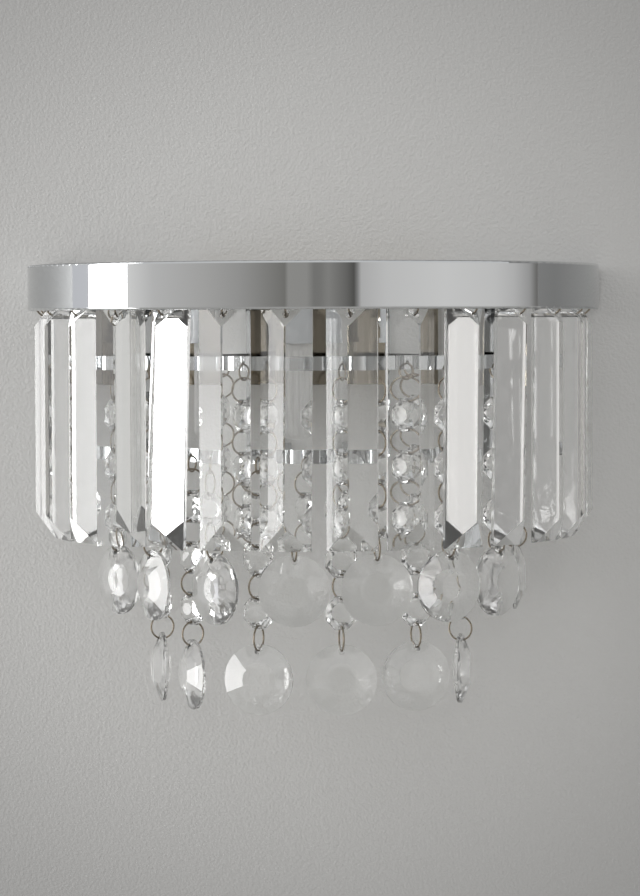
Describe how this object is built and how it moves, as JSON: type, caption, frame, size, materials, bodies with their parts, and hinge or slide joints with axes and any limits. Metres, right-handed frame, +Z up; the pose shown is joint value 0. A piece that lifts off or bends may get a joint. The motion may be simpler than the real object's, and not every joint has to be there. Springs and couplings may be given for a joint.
{
  "type": "crystal wall sconce",
  "caption": "Half-round wall light: a chromed rim with a curtain of hanging glass prisms around inner hoops of bead chains, glass discs and capsule lamps.",
  "frame": {"origin": "centre of the cable hole on the back face of the wall bracket, in the plane of the wall", "axes": "+X to the right seen from the room, +Y into the wall, +Z up"},
  "size_m": [0.25, 0.143, 0.1899],
  "materials": {
    "chromed_steel": "polished",
    "dome_nuts": "polished",
    "zinc_steel": "zinc plated",
    "frame_steel": "polished",
    "ceramic_holder": "glazed",
    "frosted_lamp": "frosted, fluted",
    "terminal_plastic": "moulded",
    "lead_insulation": "braided sleeve",
    "ring_wire": "tarnished silver wire",
    "crystal_prism": "clear cut glass",
    "crystal_bead": "clear cut glass on wire rings",
    "crystal_disc": "clear cut glass"
  },
  "bodies": {
    "fixture": {"rim_band": "chromed_steel", "prism_rail": "chromed_steel", "back_box": "chromed_steel", "wall_bracket": "zinc_steel", "dome_nuts": "dome_nuts", "side_frames": "frame_steel", "upper_hoop": "chromed_steel", "lower_hoop": "chromed_steel", "lamp_plates": "chromed_steel", "lampholders": "ceramic_holder", "terminal_block": "terminal_plastic", "holder_leads": "lead_insulation", "hanging_rings": "ring_wire"},
    "lamp_left": {"lamp_left": "frosted_lamp"},
    "lamp_right": {"lamp_right": "frosted_lamp"},
    "prism_01": {"prism_01": "crystal_prism"},
    "prism_02": {"prism_02": "crystal_prism"},
    "prism_03": {"prism_03": "crystal_prism"},
    "prism_04": {"prism_04": "crystal_prism"},
    "prism_05": {"prism_05": "crystal_prism"},
    "prism_06": {"prism_06": "crystal_prism"},
    "prism_07": {"prism_07": "crystal_prism"},
    "prism_08": {"prism_08": "crystal_prism"},
    "prism_09": {"prism_09": "crystal_prism"},
    "prism_10": {"prism_10": "crystal_prism"},
    "prism_11": {"prism_11": "crystal_prism"},
    "prism_12": {"prism_12": "crystal_prism"},
    "prism_13": {"prism_13": "crystal_prism"},
    "prism_14": {"prism_14": "crystal_prism"},
    "prism_15": {"prism_15": "crystal_prism"},
    "upper_chain_1": {"upper_chain_1": "crystal_bead"},
    "upper_disc_1": {"upper_disc_1": "crystal_disc"},
    "upper_chain_2": {"upper_chain_2": "crystal_bead"},
    "upper_disc_2": {"upper_disc_2": "crystal_disc"},
    "upper_chain_3": {"upper_chain_3": "crystal_bead"},
    "upper_disc_3": {"upper_disc_3": "crystal_disc"},
    "upper_chain_4": {"upper_chain_4": "crystal_bead"},
    "upper_disc_4": {"upper_disc_4": "crystal_disc"},
    "upper_chain_5": {"upper_chain_5": "crystal_bead"},
    "upper_disc_5": {"upper_disc_5": "crystal_disc"},
    "upper_chain_6": {"upper_chain_6": "crystal_bead"},
    "upper_disc_6": {"upper_disc_6": "crystal_disc"},
    "upper_chain_7": {"upper_chain_7": "crystal_bead"},
    "upper_disc_7": {"upper_disc_7": "crystal_disc"},
    "upper_chain_8": {"upper_chain_8": "crystal_bead"},
    "upper_disc_8": {"upper_disc_8": "crystal_disc"},
    "upper_chain_9": {"upper_chain_9": "crystal_bead"},
    "upper_disc_9": {"upper_disc_9": "crystal_disc"},
    "lower_chain_1": {"lower_chain_1": "crystal_bead"},
    "lower_disc_1": {"lower_disc_1": "crystal_disc"},
    "lower_chain_2": {"lower_chain_2": "crystal_bead"},
    "lower_disc_2": {"lower_disc_2": "crystal_disc"},
    "lower_chain_3": {"lower_chain_3": "crystal_bead"},
    "lower_disc_3": {"lower_disc_3": "crystal_disc"},
    "lower_chain_4": {"lower_chain_4": "crystal_bead"},
    "lower_disc_4": {"lower_disc_4": "crystal_disc"},
    "lower_chain_5": {"lower_chain_5": "crystal_bead"},
    "lower_disc_5": {"lower_disc_5": "crystal_disc"},
    "lower_chain_6": {"lower_chain_6": "crystal_bead"},
    "lower_disc_6": {"lower_disc_6": "crystal_disc"}
  },
  "joints": [
    {"name": "lamp_left_pull", "type": "slide", "parent": "fixture", "child": "lamp_left", "axis": [0, 0, -1], "range_m": [0, 0.012]},
    {"name": "lamp_right_pull", "type": "slide", "parent": "fixture", "child": "lamp_right", "axis": [0, 0, -1], "range_m": [0, 0.012]},
    {"name": "prism_01_swing", "type": "hinge", "parent": "fixture", "child": "prism_01", "pos_m": [-0.11572, -0.018, 0.0086], "axis": [0, 1, 0], "range_deg": [-3, 5]},
    {"name": "prism_02_swing", "type": "hinge", "parent": "fixture", "child": "prism_02", "pos_m": [-0.11282, -0.04375, 0.0086], "axis": [-0.2225, 0.9749, 0], "range_deg": [-3, 5]},
    {"name": "prism_03_swing", "type": "hinge", "parent": "fixture", "child": "prism_03", "pos_m": [-0.10426, -0.06821, 0.0086], "axis": [-0.4339, 0.901, 0], "range_deg": [-3, 5]},
    {"name": "prism_04_swing", "type": "hinge", "parent": "fixture", "child": "prism_04", "pos_m": [-0.09047, -0.09015, 0.0086], "axis": [-0.6235, 0.7818, 0], "range_deg": [-3, 5]},
    {"name": "prism_05_swing", "type": "hinge", "parent": "fixture", "child": "prism_05", "pos_m": [-0.07215, -0.10847, 0.0086], "axis": [-0.9861, 0.1663, 0], "range_deg": [-3, 5]},
    {"name": "prism_06_swing", "type": "hinge", "parent": "fixture", "child": "prism_06", "pos_m": [-0.05021, -0.12226, 0.0086], "axis": [-0.8016, 0.5978, 0], "range_deg": [-3, 5]},
    {"name": "prism_07_swing", "type": "hinge", "parent": "fixture", "child": "prism_07", "pos_m": [-0.02575, -0.13082, 0.0086], "axis": [-0.9995, 0.0324, 0], "range_deg": [-3, 5]},
    {"name": "prism_08_swing", "type": "hinge", "parent": "fixture", "child": "prism_08", "pos_m": [0, -0.13372, 0.0086], "axis": [-1, 0, 0], "range_deg": [-3, 5]},
    {"name": "prism_09_swing", "type": "hinge", "parent": "fixture", "child": "prism_09", "pos_m": [0.02575, -0.13082, 0.0086], "axis": [-0.996, 0.0896, 0], "range_deg": [-3, 5]},
    {"name": "prism_10_swing", "type": "hinge", "parent": "fixture", "child": "prism_10", "pos_m": [0.05021, -0.12226, 0.0086], "axis": [-0.8685, -0.4957, 0], "range_deg": [-3, 5]},
    {"name": "prism_11_swing", "type": "hinge", "parent": "fixture", "child": "prism_11", "pos_m": [0.07215, -0.10847, 0.0086], "axis": [-0.7, -0.7141, 0], "range_deg": [-3, 5]},
    {"name": "prism_12_swing", "type": "hinge", "parent": "fixture", "child": "prism_12", "pos_m": [0.09047, -0.09015, 0.0086], "axis": [-0.5086, -0.861, 0], "range_deg": [-3, 5]},
    {"name": "prism_13_swing", "type": "hinge", "parent": "fixture", "child": "prism_13", "pos_m": [0.10426, -0.06821, 0.0086], "axis": [-0.4339, -0.901, 0], "range_deg": [-3, 5]},
    {"name": "prism_14_swing", "type": "hinge", "parent": "fixture", "child": "prism_14", "pos_m": [0.11282, -0.04375, 0.0086], "axis": [-0.2225, -0.9749, 0], "range_deg": [-3, 5]},
    {"name": "prism_15_swing", "type": "hinge", "parent": "fixture", "child": "prism_15", "pos_m": [0.11572, -0.018, 0.0086], "axis": [0, -1, 0], "range_deg": [-3, 5]},
    {"name": "upper_chain_1_swing", "type": "hinge", "parent": "fixture", "child": "upper_chain_1", "pos_m": [-0.0882, -0.018, -0.02055], "axis": [0, 1, 0], "range_deg": [-3, 5]},
    {"name": "upper_disc_1_swing", "type": "hinge", "parent": "upper_chain_1", "child": "upper_disc_1", "pos_m": [-0.0882, -0.018, -0.09861], "axis": [-1, 0, 0], "range_deg": [-8, 8]},
    {"name": "upper_chain_2_swing", "type": "hinge", "parent": "fixture", "child": "upper_chain_2", "pos_m": [-0.08149, -0.05175, -0.02055], "axis": [-0.5299, 0.848, 0], "range_deg": [-3, 5]},
    {"name": "upper_disc_2_swing", "type": "hinge", "parent": "upper_chain_2", "child": "upper_disc_2", "pos_m": [-0.08149, -0.05175, -0.09861], "axis": [-0.7314, -0.682, 0], "range_deg": [-8, 8]},
    {"name": "upper_chain_3_swing", "type": "hinge", "parent": "fixture", "child": "upper_chain_3", "pos_m": [-0.06237, -0.08037, -0.02055], "axis": [-0.9511, 0.309, 0], "range_deg": [-3, 5]},
    {"name": "upper_disc_3_swing", "type": "hinge", "parent": "upper_chain_3", "child": "upper_disc_3", "pos_m": [-0.06237, -0.08037, -0.09861], "axis": [-0.829, -0.5592, 0], "range_deg": [-8, 8]},
    {"name": "upper_chain_4_swing", "type": "hinge", "parent": "fixture", "child": "upper_chain_4", "pos_m": [-0.03375, -0.09949, -0.02055], "axis": [-0.9903, 0.1392, 0], "range_deg": [-3, 5]},
    {"name": "upper_disc_4_swing", "type": "hinge", "parent": "upper_chain_4", "child": "upper_disc_4", "pos_m": [-0.03375, -0.09949, -0.09861], "axis": [-0.7071, -0.7071, 0], "range_deg": [-8, 8]},
    {"name": "upper_chain_5_swing", "type": "hinge", "parent": "fixture", "child": "upper_chain_5", "pos_m": [0, -0.1062, -0.02055], "axis": [-1, 0, 0], "range_deg": [-3, 5]},
    {"name": "upper_disc_5_swing", "type": "hinge", "parent": "upper_chain_5", "child": "upper_disc_5", "pos_m": [0, -0.1062, -0.09861], "axis": [0.0872, -0.9962, 0], "range_deg": [-8, 8]},
    {"name": "upper_chain_6_swing", "type": "hinge", "parent": "fixture", "child": "upper_chain_6", "pos_m": [0.03375, -0.09949, -0.02055], "axis": [-0.9781, -0.2079, 0], "range_deg": [-3, 5]},
    {"name": "upper_disc_6_swing", "type": "hinge", "parent": "upper_chain_6", "child": "upper_disc_6", "pos_m": [0.03375, -0.09949, -0.09861], "axis": [0.1219, -0.9925, 0], "range_deg": [-8, 8]},
    {"name": "upper_chain_7_swing", "type": "hinge", "parent": "fixture", "child": "upper_chain_7", "pos_m": [0.06237, -0.08037, -0.02055], "axis": [-0.9397, -0.342, 0], "range_deg": [-3, 5]},
    {"name": "upper_disc_7_swing", "type": "hinge", "parent": "upper_chain_7", "child": "upper_disc_7", "pos_m": [0.06237, -0.08037, -0.09861], "axis": [0.5592, -0.829, 0], "range_deg": [-8, 8]},
    {"name": "upper_chain_8_swing", "type": "hinge", "parent": "fixture", "child": "upper_chain_8", "pos_m": [0.08149, -0.05175, -0.02055], "axis": [-0.5299, -0.848, 0], "range_deg": [-3, 5]},
    {"name": "upper_disc_8_swing", "type": "hinge", "parent": "upper_chain_8", "child": "upper_disc_8", "pos_m": [0.08149, -0.05175, -0.09861], "axis": [0.809, -0.5878, 0], "range_deg": [-8, 8]},
    {"name": "upper_chain_9_swing", "type": "hinge", "parent": "fixture", "child": "upper_chain_9", "pos_m": [0.0882, -0.018, -0.02055], "axis": [0, -1, 0], "range_deg": [-3, 5]},
    {"name": "upper_disc_9_swing", "type": "hinge", "parent": "upper_chain_9", "child": "upper_disc_9", "pos_m": [0.0882, -0.018, -0.09861], "axis": [1, 0, 0], "range_deg": [-8, 8]},
    {"name": "lower_chain_1_swing", "type": "hinge", "parent": "fixture", "child": "lower_chain_1", "pos_m": [-0.0651, -0.03544, -0.05995], "axis": [-0.2588, 0.9659, 0], "range_deg": [-3, 5]},
    {"name": "lower_disc_1_swing", "type": "hinge", "parent": "lower_chain_1", "child": "lower_disc_1", "pos_m": [-0.0651, -0.03544, -0.13801], "axis": [-0.9659, -0.2588, 0], "range_deg": [-8, 8]},
    {"name": "lower_chain_2_swing", "type": "hinge", "parent": "fixture", "child": "lower_chain_2", "pos_m": [-0.04766, -0.06566, -0.05995], "axis": [-0.9272, 0.3746, 0], "range_deg": [-3, 5]},
    {"name": "lower_disc_2_swing", "type": "hinge", "parent": "lower_chain_2", "child": "lower_disc_2", "pos_m": [-0.04766, -0.06566, -0.13801], "axis": [-0.8988, -0.4384, 0], "range_deg": [-8, 8]},
    {"name": "lower_chain_3_swing", "type": "hinge", "parent": "fixture", "child": "lower_chain_3", "pos_m": [-0.01744, -0.0831, -0.05995], "axis": [-0.9848, 0.1736, 0], "range_deg": [-3, 5]},
    {"name": "lower_disc_3_swing", "type": "hinge", "parent": "lower_chain_3", "child": "lower_disc_3", "pos_m": [-0.01744, -0.0831, -0.13801], "axis": [-0.1908, -0.9816, 0], "range_deg": [-8, 8]},
    {"name": "lower_chain_4_swing", "type": "hinge", "parent": "fixture", "child": "lower_chain_4", "pos_m": [0.01744, -0.0831, -0.05995], "axis": [-0.9848, -0.1736, 0], "range_deg": [-3, 5]},
    {"name": "lower_disc_4_swing", "type": "hinge", "parent": "lower_chain_4", "child": "lower_disc_4", "pos_m": [0.01744, -0.0831, -0.13801], "axis": [0.0872, -0.9962, 0], "range_deg": [-8, 8]},
    {"name": "lower_chain_5_swing", "type": "hinge", "parent": "fixture", "child": "lower_chain_5", "pos_m": [0.04766, -0.06566, -0.05995], "axis": [-0.9511, -0.309, 0], "range_deg": [-3, 5]},
    {"name": "lower_disc_5_swing", "type": "hinge", "parent": "lower_chain_5", "child": "lower_disc_5", "pos_m": [0.04766, -0.06566, -0.13801], "axis": [0.3746, -0.9272, 0], "range_deg": [-8, 8]},
    {"name": "lower_chain_6_swing", "type": "hinge", "parent": "fixture", "child": "lower_chain_6", "pos_m": [0.0651, -0.03544, -0.05995], "axis": [-0.2588, -0.9659, 0], "range_deg": [-3, 5]},
    {"name": "lower_disc_6_swing", "type": "hinge", "parent": "lower_chain_6", "child": "lower_disc_6", "pos_m": [0.0651, -0.03544, -0.13801], "axis": [0.9962, -0.0872, 0], "range_deg": [-8, 8]}
  ]
}
